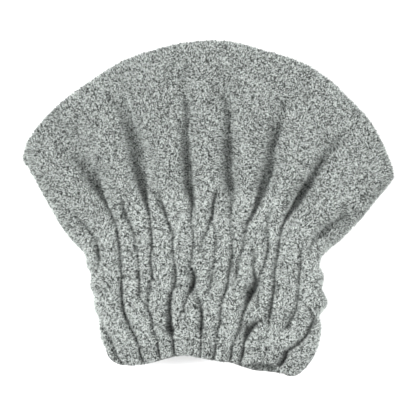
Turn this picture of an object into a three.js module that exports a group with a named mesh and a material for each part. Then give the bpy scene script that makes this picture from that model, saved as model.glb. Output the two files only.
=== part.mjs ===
// A hair turban towel: a plush drying cap that lies flat on a table, its mouth towards -Y and its
// crown towards +Y. A front and a back panel are sewn together up both sides and round the crown.
// Rows of elastic gather the lower part into a band, and a doubled hem closes the edge of the mouth.
// Millimetres, +Z up. The origin is on the table, under the middle of the cap's outline.
import * as THREE from "three";

const { lerp, clamp, smoothstep } = THREE.MathUtils;

// Outline of the cap as it lies
const crownWidth = 280; // tip to tip
const capHeight = 254; // lowest point of the hem to the top of the crown
const waistWidth = 178; // across the band at its upper row of elastic
const mouthWidth = 158; // across the band at the seam with the hem
const bandHeight = 93; // lowest point of the hem to the waist
const leftTipHeight = 167;
const rightTipHeight = 156;
const waistShift = -2.7; // the relaxed band leans a little: its top to the left of the crown's middle,
const mouthShift = 2; // and its mouth to the right

// Height of the cloth above the table
const mouthLoft = 27;
const bandLoft = 31;
const crownLoft = 12;
const bandSeamHeight = 12;
const crownSeamHeight = 5.2;

// Cloth, seams and hem
const clothThickness = 3;
const seamGap = 0.3;
const sideRoll = 10; // how far in from a seam the cloth turns over
const hemDepth = 12;
const hemThickness = 5.4;
const hemDrawIn = 5; // how far the hem's lower edge is drawn in at each side

// Gathers
const elasticRows = 5;
const scallop = 2; // how far the side edge swells between two rows of elastic
const puff = 1.6; // how far the crests swell there
const gatherDepth = 10;
const backGatherDepth = 4.5;
const backGathers = 9;
const pinchAtHem = 0.22; // share of a crease's depth that is left where the hem holds it

// Resolution
const rollSteps = 4;
const frontSteps = 4; // columns from one crease to the next
const backSteps = 3;
const fanRows = 7;
const hemSides = 8;

// Where the gathered band ends and the loose fan begins, as a share of a panel's rows
const waistShare = 0.42;
// Where the fan's broad folds are deepest
const fanShare = 0.6;
// Where a crease has its full depth again above the hem
const aboveHemShare = 0.1;
// Powers that shape the fan's slope down to the crown, and the rounding of the crests
const slopePower = 0.8;
const crestPower = 1.3;

// The lower edge of the hem: level, but for an arch and for the corner that sags. Heights are shares
// of capHeight, and places and spans are shares of the mouth's width from its left corner.
const hemLine = {
  level: 0.039,
  arch: 0.024,
  archAt: 0.38,
  archSpan: 0.17,
  sag: 0.039,
  sagAt: 0.88,
  sagSpan: 0.12,
};

// The sides of the fan. flare bends the side edge between waist and tip, and fullness rounds the half
// of the crown above it. Both are powers, and less than 1 bulges outwards.
const leftSide = { sign: -1, tipHeight: leftTipHeight, flare: 0.78, fullness: 0.8 };
const rightSide = { sign: 1, tipHeight: rightTipHeight, flare: 0.62, fullness: 0.68 };
const crownSpread = 0.2; // how much the columns crowd towards the tips along the crown

// The creases of the front, from left to right. mouth, waist and crown are where each one crosses the
// hem, the waist and the crown seam, as shares of the flat between the rolled sides. atMouth, atWaist
// and atFan are shares of gatherDepth, and reach is the row where it has died out.
const frontCreases = [
  { mouth: 0.03, waist: 0.03, crown: 0.06, atMouth: 0.2, atWaist: 0.55, atFan: 0.15, reach: 0.68 },
  { mouth: 0.115, waist: 0.107, crown: 0.13, atMouth: 0.85, atWaist: 0.85, atFan: 0.5, reach: 0.86 },
  { mouth: 0.165, waist: 0.185, crown: 0.2, atMouth: 0.35, atWaist: 0.6, atFan: 0.05, reach: 0.62 },
  { mouth: 0.215, waist: 0.255, crown: 0.27, atMouth: 0.7, atWaist: 0.8, atFan: 0.7, reach: 0.9 },
  { mouth: 0.295, waist: 0.335, crown: 0.34, atMouth: 1.0, atWaist: 0.6, atFan: 0.08, reach: 0.64 },
  { mouth: 0.375, waist: 0.43, crown: 0.41, atMouth: 0.45, atWaist: 0.85, atFan: 0.55, reach: 0.86 },
  { mouth: 0.46, waist: 0.51, crown: 0.47, atMouth: 0.95, atWaist: 0.5, atFan: 0.1, reach: 0.66 },
  { mouth: 0.54, waist: 0.61, crown: 0.53, atMouth: 0.65, atWaist: 0.75, atFan: 0.6, reach: 0.88 },
  { mouth: 0.625, waist: 0.69, crown: 0.66, atMouth: 0.7, atWaist: 0.8, atFan: 0.7, reach: 0.88 },
  { mouth: 0.7, waist: 0.77, crown: 0.75, atMouth: 0.95, atWaist: 0.65, atFan: 0.08, reach: 0.64 },
  { mouth: 0.82, waist: 0.845, crown: 0.83, atMouth: 0.6, atWaist: 0.85, atFan: 0.7, reach: 0.88 },
  { mouth: 0.9, waist: 0.95, crown: 0.93, atMouth: 0.9, atWaist: 0.6, atFan: 0.3, reach: 0.7 },
];

// The back was never seen, so its creases are spaced evenly, every other one deeper.
const backCreases = Array.from({ length: backGathers }, (_, i) => {
  const at = (i + 1) / (backGathers + 1);
  const deep = i % 2 === 0;
  return {
    mouth: at,
    waist: at,
    crown: at,
    atMouth: deep ? 1 : 0.6,
    atWaist: deep ? 0.8 : 1,
    atFan: deep ? 0.5 : 0.15,
    reach: deep ? 0.8 : 0.62,
  };
});

// How far up the band or up the fan a row lies, from 0 to 1
const upBand = (v) => clamp(v / waistShare, 0, 1);
const upFan = (v) => clamp((v - waistShare) / (1 - waistShare), 0, 1);

// Seen from above, the panels are stretched between four edges: the mouth, the crown and two sides.

// The seam between the panels and the hem, at a distance x from the middle of the mouth
function mouthLine(x) {
  const place = x / mouthWidth + 0.5;
  const bump = (at, span) => Math.exp(-Math.pow((place - at) / span, 2));
  const arch = hemLine.arch * bump(hemLine.archAt, hemLine.archSpan);
  const sag = hemLine.sag * bump(hemLine.sagAt, hemLine.sagSpan);
  return (hemLine.level + arch - sag) * capHeight + hemDepth + seamGap;
}

function mouthPoint(u) {
  const x = (u - 0.5) * mouthWidth;
  return new THREE.Vector2(mouthShift + x, mouthLine(x));
}

// The crown seam: each half is a flattened ellipse that rises from its tip to the top.
function crownPoint(u) {
  const along = 2 * u - 1;
  const share = lerp(along, Math.sin((along * Math.PI) / 2), crownSpread);
  const side = share < 0 ? leftSide : rightSide;
  const rise = Math.pow(Math.max(0, 1 - share * share), side.fullness);
  return new THREE.Vector2((share * crownWidth) / 2, lerp(side.tipHeight, capHeight, rise));
}

// A side edge: scalloped up the band, then flared to its tip.
function sidePoint(side, v) {
  const corner = mouthPoint(side.sign < 0 ? 0 : 1);
  const waistX = waistShift + (side.sign * waistWidth) / 2;
  if (v <= waistShare) {
    const up = upBand(v);
    const swell = scallop * Math.abs(Math.sin(Math.PI * elasticRows * up));
    const x = lerp(corner.x, waistX, up) + side.sign * swell;
    return new THREE.Vector2(x, lerp(corner.y, bandHeight, up));
  }
  const up = upFan(v);
  const x = lerp(waistX, (side.sign * crownWidth) / 2, Math.pow(up, side.flare));
  return new THREE.Vector2(x, lerp(bandHeight, side.tipHeight, up));
}

// A Coons patch: the two pairs of edges are blended, and the corners that count twice are taken off.
function planPoint(u, v) {
  const left = sidePoint(leftSide, v);
  const right = sidePoint(rightSide, v);
  const low = [mouthPoint(0), mouthPoint(u), mouthPoint(1)];
  const high = [crownPoint(0), crownPoint(u), crownPoint(1)];
  const blend = (axis) => {
    const across = lerp(left[axis], right[axis], u);
    const along = lerp(low[1][axis], high[1][axis], v);
    const lowCorners = lerp(low[0][axis], low[2][axis], u);
    const highCorners = lerp(high[0][axis], high[2][axis], u);
    return across + along - lerp(lowCorners, highCorners, v);
  };
  return new THREE.Vector2(blend("x"), blend("y"));
}

// Heights at a row
const seamHeight = (v) => lerp(bandSeamHeight, crownSeamHeight, smoothstep(upFan(v), 0, 1));
const puffAt = (v) => puff * Math.abs(Math.sin(Math.PI * elasticRows * upBand(v)));

function frontHeight(v) {
  const band = lerp(mouthLoft, bandLoft, upBand(v)) + puffAt(v);
  return lerp(band, crownLoft, Math.pow(upFan(v), slopePower));
}

// A crease's place and depth at a row
function creasePlace(crease, v) {
  if (v <= waistShare) return lerp(crease.mouth, crease.waist, upBand(v));
  return lerp(crease.waist, crease.crown, upFan(v));
}

function creaseDepth(crease, v) {
  const held = lerp(pinchAtHem, 1, smoothstep(v, 0, aboveHemShare));
  const band = lerp(crease.atMouth, crease.atWaist, upBand(v)) * held;
  const fan = lerp(band, crease.atFan, smoothstep(v, waistShare, fanShare));
  return fan * (1 - smoothstep(v, fanShare, crease.reach));
}

// The columns of a panel, from seam to seam. Each one knows how far it has climbed out of the side
// seam, which two creases it lies between, and how far it is from the first to the second.
function columnsOf(creases, steps) {
  const columns = [];
  for (let i = 0; i < rollSteps; i++) {
    columns.push({ roll: -1, turn: i / rollSteps, gap: 0, share: 0 });
  }
  for (let gap = 0; gap <= creases.length; gap++) {
    for (let i = 0; i < steps; i++) {
      columns.push({ roll: 0, turn: 1, gap, share: i / steps });
    }
  }
  for (let i = rollSteps; i >= 0; i--) {
    columns.push({ roll: 1, turn: i / rollSteps, gap: creases.length, share: 1 });
  }
  return columns;
}

// The rows of a panel, from the hem to the crown seam: two between neighbouring rows of elastic, so
// that each swell has a crest, then the fan, then the turn into the crown seam.
function rowsOf() {
  const bandRows = 2 * elasticRows;
  const rows = [];
  for (let i = 0; i < bandRows; i++) {
    rows.push({ turn: 1, share: (waistShare * i) / bandRows });
  }
  for (let i = 0; i < fanRows; i++) {
    rows.push({ turn: 1, share: lerp(waistShare, 1, i / fanRows) });
  }
  for (let i = rollSteps; i >= 0; i--) {
    rows.push({ turn: i / rollSteps, share: 1 });
  }
  return rows;
}

// A quarter ellipse from the seam at turn 0 to the flat of the panel at turn 1
const rollIn = (turn) => 1 - Math.cos((turn * Math.PI) / 2);
const rollUp = (turn) => Math.sin((turn * Math.PI) / 2);

// A column's place across a panel, from 0 at the left seam to 1 at the right one
function placeAcross(column, places, rollShare, insetShare) {
  if (column.roll === 0) {
    const onFlat = lerp(places[column.gap], places[column.gap + 1], column.share);
    return lerp(rollShare, 1 - rollShare, onFlat);
  }
  const fromSeam = lerp(insetShare, rollShare, rollIn(column.turn));
  return column.roll < 0 ? fromSeam : 1 - fromSeam;
}

// How far the cloth dips at a column that lies between two creases, with a rounded crest halfway
function dipAt(column, depths) {
  const nearFirst = Math.pow(clamp(1 - 2 * column.share, 0, 1), crestPower);
  const nearSecond = Math.pow(clamp(2 * column.share - 1, 0, 1), crestPower);
  return depths[column.gap] * nearFirst + depths[column.gap + 1] * nearSecond;
}

// One face of a panel as a grid of points. inset is 0 on the face that shows and the cloth's
// thickness on the lining side. sign is 1 for the front panel, which arches up, and -1 for the back.
function faceOf(creases, columns, depth, inset, sign) {
  const crownReach = capHeight - hemDepth;
  return rowsOf().map((row) => {
    const fromCrown = lerp(inset, sideRoll, rollIn(row.turn)) / crownReach;
    const v = row.share * (1 - fromCrown);
    const rowWidth = sidePoint(leftSide, v).distanceTo(sidePoint(rightSide, v));
    const rollShare = sideRoll / rowWidth;
    const insetShare = inset / rowWidth;
    const places = [0, ...creases.map((crease) => creasePlace(crease, v)), 1];
    const depths = [0, ...creases.map((crease) => creaseDepth(crease, v) * depth), 0];
    const seam = seamHeight(v) + (sign * seamGap) / 2;
    const flat = sign > 0 ? frontHeight(v) - inset : inset;

    return columns.map((column) => {
      const plan = planPoint(placeAcross(column, places, rollShare, insetShare), v);
      const lift = rollUp(column.turn) * rollUp(row.turn);
      const height = lerp(seam, flat - sign * dipAt(column, depths), lift);
      return new THREE.Vector3(plan.x, plan.y, height);
    });
  });
}

// Quads between two rows of points, as triangles
function strip(triangles, low, high) {
  for (let i = 0; i + 1 < low.length; i++) {
    triangles.push(low[i], low[i + 1], high[i + 1]);
    triangles.push(low[i], high[i + 1], high[i]);
  }
}

function geometryOf(triangles) {
  const geometry = new THREE.BufferGeometry().setFromPoints(triangles);
  geometry.computeVertexNormals();
  return geometry;
}

// A closed shell between an upper and a lower grid of points that share their plan
function shellBetween(upper, lower) {
  const triangles = [];
  const last = upper.length - 1;
  for (let row = 0; row < last; row++) {
    strip(triangles, upper[row], upper[row + 1]);
    strip(triangles, lower[row + 1], lower[row]);
  }
  strip(triangles, lower[0], upper[0]);
  strip(triangles, upper[last], lower[last]);
  const firstOf = (grid) => grid.map((row) => row[0]);
  const lastOf = (grid) => grid.map((row) => row[row.length - 1]);
  strip(triangles, firstOf(upper), firstOf(lower));
  strip(triangles, lastOf(lower), lastOf(upper));
  return geometryOf(triangles);
}

// The hem: a flat roll of doubled cloth carried round the mouth, its outer side flush with the panels'.
// Its upper side follows the panels' lower edge, and its lower side is drawn in towards the corners.
function hemAround(loop) {
  const halfStep = Math.PI / hemSides;
  const rings = loop.map((point, i) => {
    const before = loop[(i + loop.length - 1) % loop.length];
    const after = loop[(i + 1) % loop.length];
    const outward = new THREE.Vector3(before.z - after.z, 0, after.x - before.x).normalize();
    return Array.from({ length: hemSides + 1 }, (_, side) => {
      const angle = halfStep * (2 * (side % hemSides) + 1);
      const inwards = (1 - Math.cos(angle) / Math.cos(halfStep)) / 2;
      const down = (1 - Math.sin(angle) / Math.cos(halfStep)) / 2;
      const corner = point.clone().addScaledVector(outward, -inwards * hemThickness);
      const fromMiddle = corner.x - mouthShift;
      corner.y = mouthLine(fromMiddle) - seamGap - down * hemDepth;
      corner.x -= (2 * fromMiddle / mouthWidth) * hemDrawIn * down * down;
      return corner;
    });
  });
  const triangles = [];
  rings.forEach((ring, i) => strip(triangles, rings[(i + 1) % rings.length], ring));
  return geometryOf(triangles);
}

const frontColumns = columnsOf(frontCreases, frontSteps);
const backColumns = columnsOf(backCreases, backSteps);
const frontOutside = faceOf(frontCreases, frontColumns, gatherDepth, 0, 1);
const frontInside = faceOf(frontCreases, frontColumns, gatherDepth, clothThickness, 1);
const backOutside = faceOf(backCreases, backColumns, backGatherDepth, 0, -1);
const backInside = faceOf(backCreases, backColumns, backGatherDepth, clothThickness, -1);

// The hem's path: along the front at the mouth from left to right, and back along the back
const mouthLoop = [...frontOutside[0], ...backOutside[0].slice(1, -1).reverse()];

const plushGrey = 0x9aa09c;
const hemGrey = 0x929894;
const pieces = [
  { name: "front_panel", geometry: shellBetween(frontOutside, frontInside), color: plushGrey },
  { name: "back_panel", geometry: shellBetween(backInside, backOutside), color: plushGrey },
  { name: "hem", geometry: hemAround(mouthLoop), color: hemGrey },
];

const cap = new THREE.Group();
for (const { name, geometry, color } of pieces) {
  const plush = new THREE.MeshStandardMaterial({ color, roughness: 0.95, metalness: 0 });
  const mesh = new THREE.Mesh(geometry, plush);
  mesh.name = name;
  cap.add(mesh);
}

// The cap stands on z = 0 with the middle of its outline over the origin.
const outline = new THREE.Box3().setFromObject(cap);
const middle = outline.getCenter(new THREE.Vector3());
cap.position.set(-middle.x, -middle.y, -outline.min.z);

const towel = new THREE.Group();
towel.add(cap);

export default towel;
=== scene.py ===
import math

import bpy
import numpy as np
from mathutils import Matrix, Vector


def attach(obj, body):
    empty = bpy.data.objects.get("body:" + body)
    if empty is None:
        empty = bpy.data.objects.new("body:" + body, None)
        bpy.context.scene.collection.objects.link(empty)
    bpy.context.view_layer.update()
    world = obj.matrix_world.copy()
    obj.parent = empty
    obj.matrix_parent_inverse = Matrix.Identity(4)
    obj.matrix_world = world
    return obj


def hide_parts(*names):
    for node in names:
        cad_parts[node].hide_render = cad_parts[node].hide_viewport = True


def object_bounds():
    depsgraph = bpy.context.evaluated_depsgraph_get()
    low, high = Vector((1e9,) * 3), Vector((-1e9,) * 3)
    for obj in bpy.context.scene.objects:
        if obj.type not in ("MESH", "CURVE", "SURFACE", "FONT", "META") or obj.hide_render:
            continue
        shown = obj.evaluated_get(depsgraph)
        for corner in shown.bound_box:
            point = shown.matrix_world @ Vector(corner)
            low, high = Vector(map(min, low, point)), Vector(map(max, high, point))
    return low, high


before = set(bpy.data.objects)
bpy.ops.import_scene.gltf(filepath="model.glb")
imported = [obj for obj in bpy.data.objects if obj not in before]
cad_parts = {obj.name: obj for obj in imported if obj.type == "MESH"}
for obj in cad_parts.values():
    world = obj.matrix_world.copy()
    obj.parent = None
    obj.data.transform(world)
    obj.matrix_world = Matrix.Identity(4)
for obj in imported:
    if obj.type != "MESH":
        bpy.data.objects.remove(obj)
cadLow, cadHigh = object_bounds()
print("frame loaded, nodes:", sorted(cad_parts))

mm = 0.001
# The photograph is 416 pixels square, taken from straight above. Its pixels measure the cap.
photo = {
    "side": 416,
    "middle": (208.0, 208.0),
    "tipToTip": 372.0,
}
pixel = (cadHigh.x - cadLow.x) / photo["tipToTip"]


# A place in the photograph, brought onto the table: to the right is +X and up the picture is +Y
def onTable(points):
    points = np.asarray(points, float)
    return (points - photo["middle"]) * (pixel, -pixel)


# A smooth line through charted points. Between two of them it is the cubic whose ends have the
# slope of their neighbours, and share runs from 0 to 1 with the length of the chords.
def smoothLine(points, share):
    points = np.asarray(points, float)
    steps = np.linalg.norm(np.diff(points[:, :2], axis=0), axis=1)
    knots = np.concatenate([[0], np.cumsum(steps)]) / steps.sum()
    slopes = np.gradient(points, knots, axis=0)
    first = np.clip(np.searchsorted(knots, share, side="right") - 1, 0, len(steps) - 1)
    span = (knots[first + 1] - knots[first])[:, None]
    t = (share - knots[first])[:, None] / span
    start = (2 * t**3 - 3 * t**2 + 1) * points[first] + (t**3 - 2 * t**2 + t) * span * slopes[first]
    end = (3 * t**2 - 2 * t**3) * points[first + 1] + (t**3 - t**2) * span * slopes[first + 1]
    return start + end


# An s-curve from 0 at low to 1 at high
def easeBetween(value, low, high):
    t = np.clip((value - low) / (high - low), 0, 1)
    return t * t * (3 - 2 * t)


netSide = 64  # squares of random heights, after which they repeat


# Random heights from -1 to 1 at the corners of a square net, blended across each square
def lumps(x, y, size, seed):
    net = np.random.default_rng(seed).uniform(-1, 1, (netSide, netSide))
    column, row = np.floor(x / size).astype(int), np.floor(y / size).astype(int)
    s, t = x / size - column, y / size - row
    s, t = s * s * (3 - 2 * s), t * t * (3 - 2 * t)
    left, right = column % netSide, (column + 1) % netSide
    below, above = row % netSide, (row + 1) % netSide
    low = net[below, left] * (1 - s) + net[below, right] * s
    high = net[above, left] * (1 - s) + net[above, right] * s
    return low * (1 - t) + high * t


# The cap's outline, in the photograph's pixels
outline = {
    "waist": 0.42,  # the share of a panel's rows that is gathered band
    "leftBand": [
        (106.5, 347), (101.7, 333), (100.5, 318), (96.5, 308), (96, 296), (92.5, 287), (93, 275),
        (89, 266), (87.5, 254),
    ],
    "leftFlare": [
        (87.5, 254), (75.5, 242), (61, 223.5), (51, 206.5), (43.5, 193.5), (33.5, 175.5), (22.5, 159),
    ],
    "rightBand": [
        (315, 348), (317.8, 338), (319, 327.5), (317.3, 315.5), (325.3, 303), (319.5, 289.5),
        (321.3, 277), (317, 266.5), (319.5, 256),
    ],
    "rightFlare": [
        (319.5, 256), (328, 248), (340, 238.5), (352, 227), (364, 214), (376.5, 198), (386.5, 187),
        (393.8, 177),
    ],
    "crown": [
        (22.5, 159), (26, 145.5), (40.5, 122.5), (62.5, 101.5), (90.5, 81), (118.5, 63), (152, 50.5),
        (190, 42), (225, 41), (265, 51), (302.5, 63.2), (325.3, 77), (346.5, 96.5), (370, 122),
        (381, 141), (388, 157), (391.8, 167), (393.8, 177),
    ],
    "frontHem": [
        (113, 361.5), (128, 363.5), (150, 361), (172, 355.3), (185, 353.3), (200, 355.8), (225, 360),
        (245, 362), (262, 361.5), (274, 363.5), (280, 369), (286, 373.3), (294, 373.5), (301, 368),
        (305, 363),
    ],
    "backHem": [
        (113, 361.5), (128, 362.5), (150, 360), (172, 355.2), (185, 353.9), (200, 355.8), (225, 360.5),
        (245, 367.5), (256, 370.5), (268, 371.5), (276, 372.5), (282, 373.5), (290, 374), (301, 368),
        (305, 363),
    ],
}
hem = {
    "depth": 12 * mm,
    "thickness": 5.4 * mm,
    "endPower": 8,  # how late along the mouth its line bends to the side seams
}


# The seam between a panel and the hem: the hem's lower edge, lifted by the hem's depth and widened
def mouthLine(hemChart, u):
    lower = onTable(smoothLine(hemChart, u))
    left, right = onTable([outline["leftBand"][0], outline["rightBand"][0]])
    upper = lower + (0, hem["depth"])
    upper[:, 0] = left[0] + (right[0] - left[0]) * (lower[:, 0] - lower[0, 0]) / (lower[-1, 0] - lower[0, 0])
    blendEnds = np.abs(2 * u - 1)[:, None] ** hem["endPower"]  # the ends meet the side seams exactly
    ends = np.where(u[:, None] < 0.5, left, right)
    return upper * (1 - blendEnds) + ends * blendEnds, lower


# A side edge: the band's chart up to the waist, then the flare's
def sideLine(band, flare, v):
    onBand = onTable(smoothLine(outline[band], np.clip(v / outline["waist"], 0, 1)))
    upFan = np.clip((v - outline["waist"]) / (1 - outline["waist"]), 0, 1)
    onFlare = onTable(smoothLine(outline[flare], upFan))
    return np.where(v[:, None] < outline["waist"], onBand, onFlare)


# Coons patch: the blend of the two side edges plus the blend of mouth and crown, less the blend of
# the four corners. u and v are grids, and their rows share v.
def planOf(hemChart, u, v):
    flatU, flatV = u.ravel(), v.ravel()
    mouth, _ = mouthLine(hemChart, flatU)
    crown = onTable(smoothLine(outline["crown"], flatU))
    left = sideLine("leftBand", "leftFlare", flatV)
    right = sideLine("rightBand", "rightFlare", flatV)
    s, t = flatU[:, None], flatV[:, None]
    corners = onTable([
        outline["leftBand"][0], outline["rightBand"][0], outline["crown"][0], outline["crown"][-1]])
    low = corners[0] * (1 - s) + corners[1] * s
    high = corners[2] * (1 - s) + corners[3] * s
    plan = left * (1 - s) + right * s + mouth * (1 - t) + crown * t - low * (1 - t) - high * t
    return plan.reshape(*u.shape, 2)


# Each fold is a valley's line, down the picture. Its columns are pixel x, pixel y, depth in mm, and how
# far its left and right banks spread in mm. Without the last, the right bank is the left times steepBank.
folds = {
    "fanLeft": [
        (42, 114, 2.5, 14, 8), (54, 127, 8, 11, 8), (67, 141, 9.5, 9, 7), (80.5, 157, 12, 7.6, 7),
        (94, 177, 14.5, 7, 6.4), (101, 190, 15.5, 5, 5), (104.5, 199, 13, 3.2, 3),
        (109, 207, 9.5, 2, 1.8), (117.5, 225, 7, 2, 1.2), (121, 246, 6, 2.6, 1.1),
        (122.7, 270, 6, 2.5, 1.1), (123.3, 290, 6.5, 2.5, 1.1), (124.7, 308, 7, 2.6, 1.1),
        (129.5, 321, 6.5, 2.6, 1.1), (135.5, 334, 6.5, 2.6, 1.1), (139.5, 343, 4.5, 2.4, 1),
        (141, 349, 1.5, 2.2, 1),
    ],
    "fanLeftInner": [
        (107, 62, 2.5, 14, 9), (115, 82, 8, 14, 8), (121.5, 100, 9, 8, 5.4), (126.5, 117, 11, 6, 6),
        (131, 131, 12.5, 6.4, 6.8), (136, 148, 15.5, 7, 8.4), (139, 163, 17, 6.8, 7.8),
        (142, 177, 17, 5.8, 6.4), (145, 193, 15.5, 4.2, 4), (148, 205, 11.5, 2.6, 1.8),
        (151, 217, 8, 2.2, 1.2), (152.5, 240, 6, 2.6, 1.1), (152, 262, 5.5, 2.4, 1),
        (153, 278, 5, 2.2, 1), (151, 290, 3.5, 2.2, 1), (150, 302, 2.5, 2, 1),
    ],
    "bandLeft": [
        (122, 197, 1, 2.6), (125, 206, 7, 2.8), (128.5, 217, 9.5, 2.6), (133, 228, 6, 2.4),
        (137, 242, 4, 2.3), (139.5, 259, 4.5, 2.2), (140.5, 280, 5, 2.2), (142, 298, 4, 2.2),
        (148, 304, 6, 2.4), (151.5, 315, 5.5, 2.2), (155, 329, 5, 2.2), (158.5, 340, 3.5, 2.2),
        (159.5, 347, 2, 2),
    ],
    "fanSmallLeft": [
        (158.5, 188, 1, 3), (161.5, 198, 6, 2.8), (165.5, 210, 9, 2.6), (168.5, 219, 6.5, 2.4),
        (173, 232, 5, 2.4), (174, 245, 5, 2.4), (174, 256, 5, 2.4), (177, 272, 5.5, 2.4),
        (176, 284, 5.5, 2.5), (171, 299, 7, 3.2), (171.5, 318, 10.5, 4.4), (173, 332, 12, 5),
        (174, 338, 5.5, 3), (174.5, 343, 1.5, 2.2),
    ],
    "fanMiddleLeft": [
        (171, 54, 2.5, 12, 8), (179, 72, 7.5, 12, 7), (184.5, 90, 6.5, 9, 5), (187, 104, 6, 5, 3.4),
        (187.3, 125, 8, 4.6, 3.4), (187.8, 145, 9.5, 5, 3.6), (188.6, 163, 12, 5.8, 4.2),
        (189.8, 175, 13.5, 6, 4.4), (191.3, 191, 13, 4.8, 3.6), (193.3, 205, 9, 2.8, 2),
        (192.5, 216, 5, 2.4, 1.3), (194, 232, 3.5, 2.4, 1.1), (193, 254, 5, 2.2, 1),
        (191, 265, 6, 2.6, 1.1), (195.5, 275, 10, 3.6, 1.4), (194, 287, 12, 4, 1.4),
        (188.5, 296, 6, 2.6, 1.1), (184, 308, 4.5, 2.2, 1), (181, 318, 2.5, 2, 1),
    ],
    "fanSmallMiddle": [
        (220, 182, 1, 3), (217, 193, 6, 2.8), (214.2, 204, 9, 2.6), (213, 215, 8, 2.4),
        (209.5, 226, 4.5, 2.3), (203, 240, 3.5, 2.2), (201, 252, 2.5, 2.2),
    ],
    "fanMiddleRight": [
        (226, 60, 2.5, 12, 7), (228, 78, 6.5, 12, 6), (229.3, 94, 7, 9, 5), (229, 107, 7.5, 6.6, 4.4),
        (229, 121, 8.5, 6, 4.2), (229.3, 137, 10, 6.4, 4.4), (229.6, 155, 11.5, 7, 5),
        (230, 173, 12, 7.4, 5.4), (231, 185, 11, 7, 5.4), (232, 196, 8, 5.6, 4.4),
        (231.5, 209, 5, 3.4, 2.6), (231, 225, 3.5, 2.4, 1.1), (232.5, 250, 5, 2.2, 1),
        (230, 270, 5.5, 2.3, 1), (227, 288, 5.5, 2.4, 1), (222, 304, 5.5, 2.4, 1), (220, 322, 5, 2.3, 1),
        (217.5, 335, 4, 2.2, 1), (216, 342, 2, 2, 1), (215, 350, 1, 2, 1),
    ],
    "bandMiddle": [
        (217, 226, 1.5, 2.2), (217, 240, 3.5, 2.2), (215, 258, 4, 2.2), (212.5, 276, 3.8, 2.2),
        (209, 291, 2.5, 2),
    ],
    "hemPitMiddle": [
        (197, 295, 3, 2.2), (201, 305, 6, 2.8), (203, 320, 10, 3.4), (202.3, 331, 9.5, 3.4),
        (202, 337, 3.5, 2.4), (201.5, 343, 1, 2),
    ],
    "fanRightInner": [
        (302, 72, 2.5, 13, 9), (297, 87, 7, 13, 8), (290, 101, 6.5, 11, 7), (283, 117, 7, 7, 5.5),
        (277, 133, 9.5, 6.4, 5), (273, 151, 11.5, 7, 5), (269, 169, 12.5, 7, 5.4),
        (264, 185, 12.5, 6, 5.2), (257.5, 201, 11.5, 3.2, 3.2), (253, 213, 11.5, 2.4, 2.4),
        (248, 223, 8.5, 2.2, 1.5), (243, 245, 3.5, 2.5, 1.1), (240, 258, 3.5, 2.3, 1),
        (237, 272, 4, 2.3, 1), (234, 284, 3, 2.2, 1),
    ],
    "bandPitRight": [
        (253, 242, 2.5, 2.4), (254, 258, 4.5, 2.4), (253.5, 271, 5.5, 2.4), (256.5, 281, 10, 4.2),
        (253.5, 291, 13.5, 6.6), (247, 305, 8.5, 3), (242, 318, 6.5, 2.6), (238, 331, 6, 2.4),
        (233, 343, 4, 2.3), (231, 352, 2.5, 2.1),
    ],
    "bandRight": [
        (273, 208, 2.5, 2.2), (269.5, 217, 4.5, 2.2), (266, 228, 4, 2.2), (267.5, 238, 3.5, 2.2),
        (266, 252, 4.5, 2.2), (263, 266, 4.5, 2.2), (260, 278, 4, 2.2), (259.5, 292, 3.5, 2),
        (257, 306, 3, 2),
    ],
    "fanRight": [
        (350, 128, 1, 5, 6), (341, 139, 5, 4.6, 5), (327, 155, 7.5, 3.8, 4.8), (317, 167, 9.5, 3.4, 5.2),
        (309, 178, 12, 2.8, 5.6), (300.5, 191, 18, 2.6, 5.8), (293.5, 203, 16.5, 2.4, 4.6),
        (287.5, 213, 12, 2, 3), (281.5, 227, 8, 2.2, 1.6), (278.5, 250, 5.5, 2.4, 1.1),
        (275, 268, 5.5, 2.3, 1), (274, 289, 6.5, 2.5, 1.1), (271.5, 305, 8, 2.8, 1.2),
        (269, 321, 6, 2.4, 1),
    ],
    "hemPitRight": [
        (266, 318, 3, 2), (258, 322, 9, 3.6), (251, 329.5, 13.5, 6), (246, 339, 10, 4),
        (243.5, 347, 3.5, 2.4), (243, 354, 1.5, 2),
    ],
    "bandFarRight": [
        (303, 241, 3, 2.4), (300, 253, 3.5, 2.2), (299, 266, 4, 2.2), (298.5, 284, 4, 2.2),
        (296.5, 300, 3, 2.2), (294.5, 312, 4, 2.8), (290, 321, 6, 3.4), (284, 328, 4, 3),
        (275, 331, 2, 2.4),
    ],
    "cornerRight": [
        (308, 307, 3, 2.4), (313, 314, 5, 2.6), (311.5, 323, 7, 3), (309, 331, 8, 3), (303, 339, 8, 3),
        (294.5, 346.5, 8, 3), (287, 350.5, 8, 3), (280, 353.5, 8, 3), (276, 359, 8.5, 3),
    ],
    "hemRight": [
        (267, 346, 1.5, 2.2), (265.5, 352, 3, 2.2), (263, 358, 1.5, 2),
    ],
    "cornerLeft": [
        (99, 310, 1.5, 2), (106, 326, 5, 2.8), (111, 337, 5.5, 3), (116.5, 347, 3, 2.6),
        (119, 354, 1.5, 2),
    ],
    "flareLeft": [
        (66, 209, 1, 5), (79, 218, 4, 5), (89, 226, 6, 4.5), (96, 236, 7, 4), (100.5, 249, 8, 3.4),
        (101.5, 260, 6, 3), (100, 269, 2, 2.4),
    ],
    "flareRight": [
        (358, 206, 2, 3, 10), (347, 214, 7, 3, 13), (335, 220, 9.5, 3, 14), (325, 226, 9.5, 3, 13),
        (315, 234, 7.5, 2.6, 9), (310, 241, 5, 2.4, 5), (309, 250, 3, 2.4, 3),
    ],
}
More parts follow.
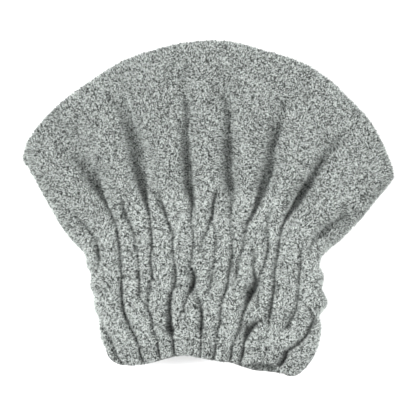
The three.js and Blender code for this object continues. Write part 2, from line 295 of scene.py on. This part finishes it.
foldLook = {
    "steepBank": 0.42,  # the right bank's spread, as a share of the left one's
    "leastBank": 1.0 * mm,
    "softHollow": 1.8,  # the power that rounds a shallow valley
    "fanHollow": 4,  # and the power for a deep one in the fan, with its flat floor
    "bandHollow": 1.6,
    "deepFrom": (6 * mm, 15 * mm),
    "fanBroad": 0.34,  # the share of the depth that falls away slowly, over broadReach spreads
    "bandBroad": 0.06,
    "broadReach": 2.6,
    "uneven": 0.22,  # how much a valley's depth wavers along it
    "bandFrom": (208, 228),  # pixel y between which the gathers tighten
    "deeperFrom": (245, 285),
    "bandDeeper": 1.4,
    "bandTighter": 0.84,
    "merge": 4,  # how sharply the deeper of two valleys wins
    "waverSize": 7 * mm,
    "waverSeed": 4,
    "stepsPerPoint": 4,
}


# The depth of all folds at each place. For a fold, with the distance to the nearest point of its line,
# it is depth * ((1 - broad) * exp(-(distance / bank) ^ hollow) + broad * exp(-(distance / (broadReach *
# bank)) ^ 2)). Several folds merge as the merge-th root of the sum of their merge-th powers, times a waver.
def foldDepth(x, y):
    place = np.stack([x.ravel(), y.ravel()], axis=1)
    total = np.zeros(len(place))
    for chart in folds.values():
        chart = np.asarray(chart, float)
        if chart.shape[1] == 4:
            chart = np.column_stack([chart, chart[:, 3] * foldLook["steepBank"]])
        inBand = easeBetween(chart[:, 1], *foldLook["bandFrom"])
        lowDown = easeBetween(chart[:, 1], *foldLook["deeperFrom"])
        depths = chart[:, 2] * mm * (1 + (foldLook["bandDeeper"] - 1) * lowDown)
        banks = chart[:, 3:] * mm * (1 + (foldLook["bandTighter"] - 1) * inBand)[:, None]
        broad = foldLook["fanBroad"] + (foldLook["bandBroad"] - foldLook["fanBroad"]) * inBand
        fanHollow = foldLook["softHollow"] + (foldLook["fanHollow"] - foldLook["softHollow"]) * easeBetween(
            depths, *foldLook["deepFrom"])
        hollow = fanHollow + (foldLook["bandHollow"] - fanHollow) * inBand
        line = np.column_stack([onTable(chart[:, :2]), depths, banks, broad, hollow])
        line = smoothLine(line, np.linspace(0, 1, foldLook["stepsPerPoint"] * len(chart)))
        nearest = np.full(len(place), np.inf)
        dip = np.zeros(len(place))
        for start, end in zip(line[:-1], line[1:]):
            along = end[:2] - start[:2]
            share = np.clip((place - start[:2]) @ along / (along @ along), 0, 1)
            away = place - start[:2] - share[:, None] * along
            distance = np.hypot(away[:, 0], away[:, 1])
            depth, leftBank, rightBank, broad, hollow = start[2:, None] + share * (end - start)[2:, None]
            toLeft = along[0] * away[:, 1] - along[1] * away[:, 0] < 0
            bank = np.maximum(np.where(toLeft, leftBank, rightBank), foldLook["leastBank"])
            closer = distance < nearest
            nearest = np.where(closer, distance, nearest)
            near = np.exp(-((distance / bank) ** hollow))
            far = np.exp(-((distance / (foldLook["broadReach"] * bank)) ** 2))
            dip = np.where(closer, depth * (near + broad * (far - near)), dip)
        total += np.maximum(dip, 0) ** foldLook["merge"]
    waver = 1 + foldLook["uneven"] * lumps(x, y, foldLook["waverSize"], foldLook["waverSeed"])
    return (total ** (1 / foldLook["merge"])).reshape(x.shape) * waver


panel = {
    "columns": 240,  # across the flat, between the rolled sides
    "rows": 130,
    "roll": 12 * mm,  # how far in from a seam the cloth turns over
    "rollSteps": 13,
    "thickness": 3 * mm,
    "seamGap": 0.3 * mm,
    "bandSeam": 12 * mm,
    "crownSeam": 5.2 * mm,
    "mouthLoft": 28 * mm,
    "bandLoft": 31.5 * mm,
    "crownLoft": 12 * mm,
    "leastLoft": 8.2 * mm,  # a valley stops here, short of the back panel
    "easeLoft": 0.7 * mm,  # and rounds off over this height
    "slope": 0.85,
    "bandFade": (0.9, 1.35),  # in waists, where the band's puckers die out
    # pixel y and pull of each thread
    "elasticRows": [(217, 0.7), (234, 0.7), (252, 1), (272, 1), (292, 1), (313, 1), (333, 0.9), (347, 0.6)],
    "elasticEnds": (104, 306),  # pixel x where the upper two threads end
    "pinch": 1.9 * mm,
    "pinchWidth": 2.6 * mm,
    "threadFade": 8 * mm,
    "wander": 2.5 * mm,  # how far a thread strays from its row
    "wanderSize": 14 * mm,
    "pull": (0.65, 0.35),  # its middle, and how much it varies
    "pullSize": 9 * mm,
    "crumple": 0.8 * mm,
    "crumpleSizes": (4.5 * mm, 2.6 * mm),
    "crumpleLength": 0.45,  # the y of a lump is squeezed by this, so it lies along the gathers
    "softness": 0.55 * mm,
    "softSizes": (13 * mm, 6 * mm),
    "finer": 0.5,  # the height of the smaller lumps, as a share of the larger
}
seeds = {"wander": 5, "pull": 6, "crumple": (7, 8), "soft": (9, 10), "back": 21, "hem": 31, "clump": 46,
         "tufts": {"band": 41, "fan": 42, "crown": 43, "back": 44, "hem": 45}}


# Shares of the way across that crowd at both seams, so that the rolled edge is a quarter ellipse:
# in from the seam by 1 - cos and up by sin of the same angle
def rolledShares(flatSteps):
    angle = np.linspace(0, math.pi / 2, panel["rollSteps"] + 1)[:-1]
    return 1 - np.cos(angle), np.sin(angle), np.linspace(0, 1, flatSteps)


# A panel's grid of u and v, and how far each point has risen out of the seams, from 0 to 1
def panelGrid(flatColumns, flatRows, inset):
    inWards, upWards, flat = rolledShares(flatColumns)
    rowIn, rowUp, flatV = rolledShares(flatRows)
    reach = (cadHigh.y - cadLow.y) - hem["depth"]
    fromCrown = np.concatenate([np.ones(flatRows), rowIn[::-1]])
    shortened = 1 - (inset + (panel["roll"] - inset) * fromCrown) / reach
    v = np.concatenate([flatV, np.ones(len(rowIn))]) * shortened
    rowRise = np.concatenate([np.ones(flatRows), rowUp[::-1]])
    width = np.linalg.norm(
        sideLine("rightBand", "rightFlare", v) - sideLine("leftBand", "leftFlare", v), axis=1)[:, None]
    rollShare, insetShare = panel["roll"] / width, inset / width
    fromSide = insetShare + (rollShare - insetShare) * inWards
    u = np.hstack([fromSide, rollShare + (1 - 2 * rollShare) * flat, 1 - fromSide[:, ::-1]])
    columnRise = np.concatenate([upWards, np.ones(flatColumns), upWards[::-1]])
    return u, np.repeat(v[:, None], u.shape[1], axis=1), rowRise[:, None] * columnRise


# The seam's height above the table, from the band's to the crown's
def seamHeight(v):
    upFan = (v - outline["waist"]) / (1 - outline["waist"])
    return panel["bandSeam"] + (panel["crownSeam"] - panel["bandSeam"]) * easeBetween(upFan, 0, 1)


# The front panel: its loft rises up the band and falls to the crown, less the folds and the pinch of each
# elastic thread, a bell curve of the distance to it, plus two sizes each of crumple and softness. The
# height is kept above leastLoft by least + ease * log(1 + exp((height - least) / ease)).
def frontSurface(inset):
    u, v, rise = panelGrid(panel["columns"], panel["rows"], inset)
    plan = planOf(outline["frontHem"], u, v)
    x, y = plan[..., 0], plan[..., 1]
    upBand = np.clip(v / outline["waist"], 0, 1)
    upFan = np.clip((v - outline["waist"]) / (1 - outline["waist"]), 0, 1)
    loft = panel["mouthLoft"] + (panel["bandLoft"] - panel["mouthLoft"]) * upBand
    loft = loft + (panel["crownLoft"] - loft) * upFan ** panel["slope"]
    inBand = 1 - easeBetween(v, *[outline["waist"] * share for share in panel["bandFade"]])
    folded = foldDepth(x, y)
    wander = panel["wander"] * lumps(x, y, panel["wanderSize"], seeds["wander"])
    pinch = np.zeros_like(x)
    for row, pull in panel["elasticRows"]:
        away = y + wander - onTable((0, row))[1]
        pinch = np.maximum(pinch, pull * np.exp(-((away / panel["pinchWidth"]) ** 2)))
    strength = panel["pull"][0] + panel["pull"][1] * lumps(x, y, panel["pullSize"], seeds["pull"])
    threadLeft, threadRight = onTable([(end, 0) for end in panel["elasticEnds"]])[:, 0]
    threaded = easeBetween(x, threadLeft, threadLeft + panel["threadFade"])
    threaded = threaded * easeBetween(-x, -threadRight, -threadRight + panel["threadFade"])
    (large, small), (largeSeed, smallSeed) = panel["crumpleSizes"], seeds["crumple"]
    crumple = lumps(x, y * panel["crumpleLength"], large, largeSeed) * inBand
    crumple = crumple + panel["finer"] * lumps(x, y, small, smallSeed) * inBand
    (large, small), (largeSeed, smallSeed) = panel["softSizes"], seeds["soft"]
    soft = lumps(x, y, large, largeSeed) + panel["finer"] * lumps(x, y, small, smallSeed)
    height = (
        loft
        - folded
        - panel["pinch"] * pinch * strength * np.maximum(inBand, threaded)
        + panel["crumple"] * crumple
        + panel["softness"] * soft
    )
    clearance = (height - panel["leastLoft"]) / panel["easeLoft"]
    height = panel["leastLoft"] + panel["easeLoft"] * np.logaddexp(0, clearance) - inset
    seam = seamHeight(v) + panel["seamGap"] / 2
    return np.dstack([x, y, seam + (height - seam) * rise]), folded


backGathers = {
    "count": 9,
    "depth": 4.5 * mm,
    "shallow": 0.6,  # every other one
    "reach": 0.8,
    "sharpness": 14,
    "atHem": 0.25,  # the share of a ridge's height at the hem
    "hemReach": 0.1,
    "sideFade": (0.5, 1),  # in gathers from a side edge
    "softness": 0.25 * mm,
    "softSize": 5 * mm,
    "columns": 150,
    "rows": 90,
}


# The back panel lies on the table. Its gathers lift it as narrow ridges, |cos| to a high power of the
# place across, which die out up the fan.
def backSurface(inset):
    u, v, rise = panelGrid(backGathers["columns"], backGathers["rows"], inset)
    plan = planOf(outline["backHem"], u, v)
    x, y = plan[..., 0], plan[..., 1]
    across = u * (backGathers["count"] + 1)
    ridge = np.abs(np.cos(math.pi * across)) ** backGathers["sharpness"]
    deep = np.where(np.round(across) % 2 == 1, 1, backGathers["shallow"])
    fade = 1 - easeBetween(v, outline["waist"], backGathers["reach"])
    held = backGathers["atHem"] + (1 - backGathers["atHem"]) * easeBetween(v, 0, backGathers["hemReach"])
    edge = easeBetween(across, *backGathers["sideFade"])
    edge = edge * easeBetween(backGathers["count"] + 1 - across, *backGathers["sideFade"])
    height = backGathers["depth"] * ridge * deep * fade * held * edge
    height += backGathers["softness"] * (1 + lumps(x, y, backGathers["softSize"], seeds["back"])) + inset
    seam = seamHeight(v) - panel["seamGap"] / 2
    return np.dstack([x, y, seam + (height - seam) * rise])


# Puts arrays of points and faces into a mesh, with a map for each corner of each face
def meshFrom(name, points, faces, cornerMap=None, smooth=True):
    mesh = bpy.data.meshes.new(name)
    sides = faces.shape[1]
    mesh.vertices.add(len(points))
    mesh.vertices.foreach_set("co", points.astype(np.float32).ravel())
    mesh.loops.add(faces.size)
    mesh.loops.foreach_set("vertex_index", faces.astype(np.int32).ravel())
    mesh.polygons.add(len(faces))
    mesh.polygons.foreach_set("loop_start", np.arange(0, faces.size, sides, dtype=np.int32))
    mesh.polygons.foreach_set("use_smooth", np.full(len(faces), smooth))
    mesh.update(calc_edges=True)
    if cornerMap is not None:
        layer = mesh.uv_layers.new(name="OFBake")
        layer.data.foreach_set("uv", cornerMap.astype(np.float32).ravel())
    mesh.validate()
    piece = bpy.data.objects.new(name, mesh)
    bpy.context.scene.collection.objects.link(piece)
    return piece


# The corners of each square of a grid of indices, counter-clockwise where rows run up and columns right
def squares(grid):
    return np.stack([grid[:-1, :-1], grid[:-1, 1:], grid[1:, 1:], grid[1:, :-1]], axis=-1).reshape(-1, 4)


# Where a cloth's faces and rim lie on its map, from 0 to 1
sheetMap = {
    "margin": 0.01,
    "faceWidth": 0.48,
    "faceHeight": 0.94,
    "lowerFrom": 0.5,
    "rim": (0.965, 0.985),
}


# A closed cloth from the grid of its upper face and the grid of its lower face, joined by a rim.
# The map lays the upper face in the left half, the lower face in the right and the rim along the top.
def clothFrom(name, upper, lower):
    rows, columns = upper.shape[:2]
    index = np.arange(rows * columns).reshape(rows, columns)
    below = index + rows * columns
    rimOut = np.concatenate([index[0, :-1], index[:-1, -1], index[-1, :0:-1], index[:0:-1, 0]])
    rimLoop = np.append(rimOut, rimOut[0])
    rimFaces = squares(np.stack([rimLoop, rimLoop + rows * columns])[::-1])
    faces = np.concatenate([squares(index), squares(below)[:, ::-1], rimFaces])
    down, across = np.mgrid[0:rows, 0:columns]
    margin = sheetMap["margin"]
    flat = np.stack([
        across / (columns - 1) * sheetMap["faceWidth"] + margin,
        down / (rows - 1) * sheetMap["faceHeight"] + margin,
    ], axis=-1).reshape(-1, 2)
    maps = np.concatenate([flat, flat + (sheetMap["lowerFrom"], 0)])
    step = (1 - 2 * margin) / len(rimOut)
    along = np.arange(len(rimOut)) * step + margin
    low, high = [np.full_like(along, edge) for edge in sheetMap["rim"]]
    rimMap = np.stack([
        np.stack([along, low], 1), np.stack([along + step, low], 1),
        np.stack([along + step, high], 1), np.stack([along, high], 1),
    ], axis=1)
    sheetFaces = faces[: -len(rimFaces)]
    cornerMap = np.concatenate([maps[sheetFaces].reshape(-1, 2), rimMap.reshape(-1, 2)])
    points = np.concatenate([upper.reshape(-1, 3), lower.reshape(-1, 3)])
    return meshFrom(name, points, faces, cornerMap)


frontOutside, frontFolds = frontSurface(0)
frontInside, _ = frontSurface(panel["thickness"])
backOutside = backSurface(0)
backInside = backSurface(panel["thickness"])
frontPanel = clothFrom("frontPanel", frontOutside, frontInside)
backPanel = clothFrom("backPanel", backInside, backOutside)
print("panels made,", len(frontPanel.data.polygons), "and", len(backPanel.data.polygons), "faces")


hemLook = {
    "sectionSteps": 20,
    "smoothing": 8,  # neighbours to each side that share in a section's direction and its inner height
    "leastWall": 0.4,  # the share of the thickness that stays in the bottom of a gather
    "levelPower": 4,  # how soon the levelling dies out round the corners
    "sectionPower": 0.55,
    "chartSteps": 400,
    "softness": 0.275 * mm,
    "softSize": 4 * mm,
    "pileBeyond": 2,  # section steps of pile past the outer half, into the mouth
}


# The hem is a flat roll carried round the mouth, flush with the panels outside. Its path is the panels'
# lower edge, its section a rounded oblong whose cos and sin are raised to sectionPower, and its ends in y
# come from the charts. Directions are averaged along the path. So is the height of the inner side, where
# it faces up, so that gathers show less inside than outside.
def hemSurface():
    front, back = frontOutside[0], backOutside[0][::-1]
    path = np.concatenate([front, back[1:-1]])
    isFront = (np.arange(len(path)) < len(front))[:, None]
    step = np.roll(path, -1, axis=0) - np.roll(path, 1, axis=0)
    outward = np.stack([-step[:, 2], np.zeros(len(path)), step[:, 0]], axis=1)
    outward /= np.linalg.norm(outward, axis=1)[:, None]
    shifts = range(-hemLook["smoothing"], hemLook["smoothing"] + 1)
    outward = sum(np.roll(outward, shift, axis=0) for shift in shifts)
    outward /= np.linalg.norm(outward, axis=1)[:, None]
    level = sum(np.roll(path[:, 2], shift) for shift in shifts) / len(shifts)
    lift = np.minimum(level - path[:, 2], (1 - hemLook["leastWall"]) * hem["thickness"])
    lift *= np.clip(outward[:, 2], 0, 1) ** hemLook["levelPower"]
    angle = np.linspace(0, 2 * math.pi, hemLook["sectionSteps"], endpoint=False)
    waves = np.stack([np.cos(angle), np.sin(angle)])
    inWards, down = (1 - np.sign(waves) * np.abs(waves) ** hemLook["sectionPower"]) / 2
    ring = path[:, None, :] - outward[:, None, :] * (inWards * hem["thickness"])[None, :, None]
    ring[..., 2] += lift[:, None] * inWards
    x = ring[..., 0]
    edges = []
    for chart in ["frontHem", "backHem"]:
        upper, lower = mouthLine(outline[chart], np.linspace(0, 1, hemLook["chartSteps"]))
        lines = (upper[:, 1], lower[:, 1], lower[:, 0] - upper[:, 0])
        edges.append([np.interp(x, upper[:, 0], line) for line in lines])
    upperY, lowerY, aside = [np.where(isFront, onFront, onBack) for onFront, onBack in zip(*edges)]
    ring[..., 1] = upperY - panel["seamGap"] + (lowerY - upperY) * down
    ring[..., 0] += aside * down**2
    ring[..., 2] += hemLook["softness"] * lumps(ring[..., 0], ring[..., 1], hemLook["softSize"], seeds["hem"])
    ring[..., 2] = np.maximum(ring[..., 2], 0)
    return ring


hemRing = hemSurface()
rings, sides = hemRing.shape[:2]
wrapped = np.arange(rings * sides).reshape(rings, sides)  # closed on itself both ways
wrapped = np.vstack([wrapped, wrapped[:1]])
wrapped = np.hstack([wrapped, wrapped[:, :1]])
hemFaces = squares(wrapped)
ringAt, sideAt = np.mgrid[0:rings + 1, 0:sides + 1]
hemFlat = np.stack([ringAt / rings, sideAt / sides], axis=-1).reshape(-1, 2)
hemFlat = hemFlat * (1 - 2 * sheetMap["margin"]) + sheetMap["margin"]
hemMap = hemFlat[squares(np.arange((rings + 1) * (sides + 1)).reshape(rings + 1, sides + 1))]
hemBand = meshFrom("hemBand", hemRing.reshape(-1, 3), hemFaces, hemMap.reshape(-1, 2))
print("hem made,", len(hemFaces), "faces")


pile = {
    "crown": {"tufts": 46000, "length": 1.25 * mm, "lift": 1.4 * mm, "width": 0.68 * mm, "darkShare": 0.27},
    "fan": {"tufts": 45000, "length": 1.3 * mm, "lift": 1.4 * mm, "width": 0.68 * mm, "darkShare": 0.27},
    "band": {"tufts": 48000, "length": 2.1 * mm, "lift": 1.5 * mm, "width": 0.62 * mm, "darkShare": 0.21},
    "hem": {"tufts": 19000, "length": 2.2 * mm, "lift": 1.5 * mm, "width": 0.64 * mm, "darkShare": 0.3},
    "back": {"tufts": 24000, "length": 2.2 * mm, "lift": 0.9 * mm, "width": 0.8 * mm, "darkShare": 0.27},
    "sunk": 0.3 * mm,
    "darkSize": 1.28,  # a dark tuft is this many times as large as a light one
    "onTable": 0.05 * mm,  # no tuft goes lower: the table presses the pile flat
    "pressedBy": 6 * mm,  # a fold this deep presses the pile flat in its valley
    "pressedFrom": 0.4,  # the share of pressedBy at which that begins
    "pressed": {"crown": 0, "fan": 0.15, "band": 0.45},
    "sizes": (0.6, 1.25),  # shares of a tuft's length and width
    "rises": (0.4, 1.5),  # and of its lift
    "heel": 0.6,  # how far the root's third corner lies behind, in widths
    "darkShades": (0, 0.14),
    "lightShades": (0.5, 0.9),
    "clump": 0.04,  # how much of its shade a tuft has in common with its neighbours
    "clumpSize": 5 * mm,
    "bandEnds": 1.1,  # in waists, where the band's pile gives way to the fan's
}
# The map of a tuft's four corners: its shade of the heather is added across, and up runs from root to tip,
# for the painted shade at its root
tuftMap = np.array([[0.0, 0.05], [0.004, 0.05], [0.002, 0.02], [0.002, 0.97]])
shadeRange = (0.02, 0.98)


# Tufts stand at random places of a grid of points, as many to each square as its area earns. A tuft
# is a leaning spike on a small triangle: its tip is length along the lean and lift above the cloth.
# Its size is random, less where a deep fold presses it.
def tuftsOn(name, surface, kind, foldDepths=None):
    rng = np.random.default_rng(seeds["tufts"][kind])
    tuft = pile[kind]
    count = tuft["tufts"]
    a, b, c, d = surface[:-1, :-1], surface[:-1, 1:], surface[1:, 1:], surface[1:, :-1]
    normal = np.cross(c - a, d - b)
    area = np.linalg.norm(normal, axis=-1)
    chosen = rng.choice(area.size, count, p=(area / area.sum()).ravel())
    row, column = np.unravel_index(chosen, area.shape)
    s, t = rng.random((2, count, 1))
    near = a[row, column] * (1 - s) + b[row, column] * s
    far = d[row, column] * (1 - s) + c[row, column] * s
    place = near * (1 - t) + far * t
    up = normal[row, column] / area[row, column][:, None]
    across = (b - a)[row, column]
    across /= np.linalg.norm(across, axis=1)[:, None]
    beside = np.cross(up, across)
    turn = rng.uniform(0, 2 * math.pi, (count, 1))
    lean = np.cos(turn) * across + np.sin(turn) * beside
    side = np.cross(up, lean)
    size = rng.uniform(*pile["sizes"], (count, 1))
    isDark = rng.random(count) < tuft["darkShare"]
    size[isDark] *= pile["darkSize"]
    # pressed tufts are smaller, so more of the ground's painted shade shows in a deep valley
    if foldDepths is not None:
        depth = foldDepths[row, column][:, None]
        flattened = easeBetween(depth, pile["pressedFrom"] * pile["pressedBy"], pile["pressedBy"])
        size *= 1 - pile["pressed"][kind] * flattened
    root = place - up * pile["sunk"]
    left = root + side * tuft["width"] * size / 2
    right = root - side * tuft["width"] * size / 2
    heel = root - lean * tuft["width"] * size * pile["heel"]
    rise = rng.uniform(*pile["rises"], (count, 1))
    tip = place + lean * tuft["length"] * size + up * tuft["lift"] * rise
    points = np.stack([left, right, heel, tip], axis=1).reshape(-1, 3)
    points[:, 2] = np.maximum(points[:, 2], pile["onTable"])
    corners = np.array([[0, 1, 2], [1, 0, 3], [2, 1, 3], [0, 2, 3]])
    faces = (np.arange(count)[:, None, None] * 4 + corners).reshape(-1, 3)
    clump = pile["clump"] * lumps(place[:, 0], place[:, 1], pile["clumpSize"], seeds["clump"])
    darkShade = rng.uniform(*pile["darkShades"], count)
    lightShade = rng.uniform(*pile["lightShades"], count)
    shade = np.clip(np.where(isDark, darkShade, lightShade) + clump, *shadeRange)
    cornerMap = tuftMap[np.tile(corners.ravel(), count)]
    cornerMap[:, 0] += np.repeat(shade, corners.size)
    return meshFrom(name, points, faces, cornerMap, smooth=False)


rowShares = panelGrid(panel["columns"], panel["rows"], 0)[1][:, 0]
waistRow = np.argmin(np.abs(rowShares - outline["waist"] * pile["bandEnds"]))
fanRow = (waistRow + len(frontOutside)) // 2
pilePieces = [
    tuftsOn("pileBand", frontOutside[: waistRow + 1], "band", frontFolds),
    tuftsOn("pileFan", frontOutside[waistRow: fanRow + 1], "fan", frontFolds[waistRow:]),
    tuftsOn("pileCrown", frontOutside[fanRow:], "crown", frontFolds[fanRow:]),
]
backPile = tuftsOn("pileBack", backOutside[:, ::-1], "back")
quarter = hemLook["sectionSteps"] // 4  # the hem's pile covers the outer half of its section and a bit more
outerHem = np.roll(np.concatenate([hemRing, hemRing[:1]]), 2 * quarter, axis=1)
outerHem = outerHem[:, quarter - hemLook["pileBeyond"]: 3 * quarter + 1]
hemPile = tuftsOn("pileHem", outerHem, "hem")
print("pile made")


heather = {
    # the ground is partly the cloth's own grey and partly painted shade, as dark as the deep pile between
    # tufts
    "groundAndShade": (0.215, 0.232, 0.222),
    "dark": (0.010, 0.013, 0.011),
    "mid": (0.482, 0.52, 0.498),
    "light": (0.688, 0.733, 0.707),
}
weave = {
    "roughness": 0.95,
    "specular": 0.15,
    "sheen": 0.15,
    "sheenRoughness": 0.6,
    "noiseScale": 900,
    "noiseDetail": 2,
    "stops": (0.38, 0.62),
    "bump": 0.6,
    "bumpHeight": 0.4 * mm,
    "hemBrightness": 0.95,
}
tuftShades = {
    "roughness": 0.9,
    "dark": 0.2,  # the shades at which the heather's colours stand
    "mid": 0.4,
    "light": 0.85,
    "root": 0.45,  # painted shade: the brightness of a tuft's root, with its tip at 1, darkened where the pile shades itself
}


def nodesOf(name, roughness):
    material = bpy.data.materials.new(name)
    material.use_nodes = True
    nodes, links = material.node_tree.nodes, material.node_tree.links
    shader = nodes["Principled BSDF"]
    shader.inputs["Roughness"].default_value = roughness
    shader.inputs["Specular IOR Level"].default_value = weave["specular"]
    shader.inputs["Sheen Weight"].default_value = weave["sheen"]
    shader.inputs["Sheen Roughness"].default_value = weave["sheenRoughness"]
    return material, nodes, links, shader


# The cloth under the pile: salt and pepper dots from fine noise, and a knit of soft bumps. Its ground colour
# is darker than the tufts, partly the cloth's own heather and partly painted shade for the deep pile between
# them
def clothMaterial(name, brightness):
    material, nodes, links, shader = nodesOf(name, weave["roughness"])
    where = nodes.new("ShaderNodeTexCoord")
    fine = nodes.new("ShaderNodeTexNoise")
    fine.inputs["Scale"].default_value = weave["noiseScale"]
    fine.inputs["Detail"].default_value = weave["noiseDetail"]
    ramp = nodes.new("ShaderNodeValToRGB")
    stops = ramp.color_ramp.elements
    stops[0].position, stops[1].position = weave["stops"]
    stops[0].color = (*heather["dark"], 1)
    stops[1].color = (*[brightness * c for c in heather["groundAndShade"]], 1)
    bump = nodes.new("ShaderNodeBump")
    bump.inputs["Strength"].default_value = weave["bump"]
    bump.inputs["Distance"].default_value = weave["bumpHeight"]
    links.new(where.outputs["Object"], fine.inputs["Vector"])
    links.new(fine.outputs["Fac"], ramp.inputs["Fac"])
    links.new(fine.outputs["Fac"], bump.inputs["Height"])
    links.new(ramp.outputs["Color"], shader.inputs["Base Color"])
    links.new(bump.outputs["Normal"], shader.inputs["Normal"])
    return material


# A tuft's colour comes from its own map: across is its shade of the heather, and up is root to tip, along
# which painted shade darkens it toward the root
def tuftMaterial(name):
    material, nodes, links, shader = nodesOf(name, tuftShades["roughness"])
    where = nodes.new("ShaderNodeUVMap")
    where.uv_map = "OFBake"
    split = nodes.new("ShaderNodeSeparateXYZ")
    ramp = nodes.new("ShaderNodeValToRGB")
    stops = ramp.color_ramp.elements
    stops[0].position, stops[0].color = tuftShades["dark"], (*heather["dark"], 1)
    stops[1].position, stops[1].color = tuftShades["light"], (*heather["light"], 1)
    middle = stops.new(tuftShades["mid"])
    middle.color = (*heather["mid"], 1)
    # painted shade: the tuft's colour is darkened toward its root, where the pile shades itself
    rootShadeToTip = nodes.new("ShaderNodeMapRange")
    rootShadeToTip.inputs["To Min"].default_value = tuftShades["root"]
    paintedRootShade = nodes.new("ShaderNodeMix")
    paintedRootShade.data_type = "RGBA"
    paintedRootShade.blend_type = "MULTIPLY"
    paintedRootShade.inputs["Factor"].default_value = 1
    links.new(where.outputs["UV"], split.inputs["Vector"])
    links.new(split.outputs["X"], ramp.inputs["Fac"])
    links.new(split.outputs["Y"], rootShadeToTip.inputs["Value"])
    links.new(ramp.outputs["Color"], paintedRootShade.inputs["A"])
    links.new(rootShadeToTip.outputs["Result"], paintedRootShade.inputs["B"])
    links.new(paintedRootShade.outputs["Result"], shader.inputs["Base Color"])
    return material


plushCloth = clothMaterial("plushCloth", 1.0)
hemCloth = clothMaterial("hemCloth", weave["hemBrightness"])
plushPile = tuftMaterial("plushPile")
for piece, material in [
    (frontPanel, plushCloth), (backPanel, plushCloth), (hemBand, hemCloth),
    *[(tufts, plushPile) for tufts in [*pilePieces, backPile, hemPile]],
]:
    piece.data.materials.append(material)
print("materials made")

for piece, slot in [
    (frontPanel, "plush"), (backPanel, "plush"), (hemBand, "plush_hem"),
    *[(tufts, "plush") for tufts in [*pilePieces, backPile]], (hemPile, "plush_hem"),
]:
    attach(piece, "root")
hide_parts("front_panel")
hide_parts("back_panel")
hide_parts("hem")

studio = {
    "floorSide": 4.0,
    "cameraHeight": 1.5,
    "focusHeight": 10 * mm,  # the outline's height above the table, where the scale is exact
    "sensor": 36.0,
    "floorColour": (0.93, 0.93, 0.93),
    "floorRoughness": 0.9,
    "airStrength": 1.2,
    "lamps": {
        "keyLamp": {"place": (-3.5, 0.6, 2.5), "size": 1.5, "power": 335},
        "fillLamp": {"place": (2.4, 0.1, 1.3), "size": 1.6, "power": 85},
    },
}
half = studio["floorSide"] / 2
floorCorners = np.array([(-half, -half, 0), (half, -half, 0), (half, half, 0), (-half, half, 0)])
floor = meshFrom("floor", floorCorners, np.array([[0, 1, 2, 3]]))
floorPaint, _, _, floorShader = nodesOf("floorPaint", studio["floorRoughness"])
floorShader.inputs["Base Color"].default_value = (*studio["floorColour"], 1)
floorShader.inputs["Sheen Weight"].default_value = 0
floor.data.materials.append(floorPaint)

bpy.context.scene.world = bpy.data.worlds.new("studioAir")
bpy.context.scene.world.use_nodes = True
air = bpy.context.scene.world.node_tree.nodes["Background"]
air.inputs["Color"].default_value = (1, 1, 1, 1)
air.inputs["Strength"].default_value = studio["airStrength"]
bpy.context.scene.view_settings.view_transform = "Standard"


# A square lamp that faces the cap from a direction given as a point
def softLamp(name, place, size, power):
    lamp = bpy.data.lights.new(name, "AREA")
    lamp.shape = "SQUARE"
    lamp.size = size
    lamp.energy = power
    holder = bpy.data.objects.new(name, lamp)
    bpy.context.scene.collection.objects.link(holder)
    x, y, z = place
    holder.location = place
    holder.rotation_euler = (math.atan2(math.hypot(x, y), z), 0, math.atan2(x, -y))


for name, lamp in studio["lamps"].items():
    softLamp(name, **lamp)

camera = bpy.data.cameras.new("camera")
viewer = bpy.data.objects.new("camera", camera)
bpy.context.scene.collection.objects.link(viewer)
viewer.location = (0, 0, studio["cameraHeight"])
camera.sensor_width = studio["sensor"]
camera.lens = studio["sensor"] * (studio["cameraHeight"] - studio["focusHeight"]) / (photo["side"] * pixel)
bpy.context.scene.camera = viewer
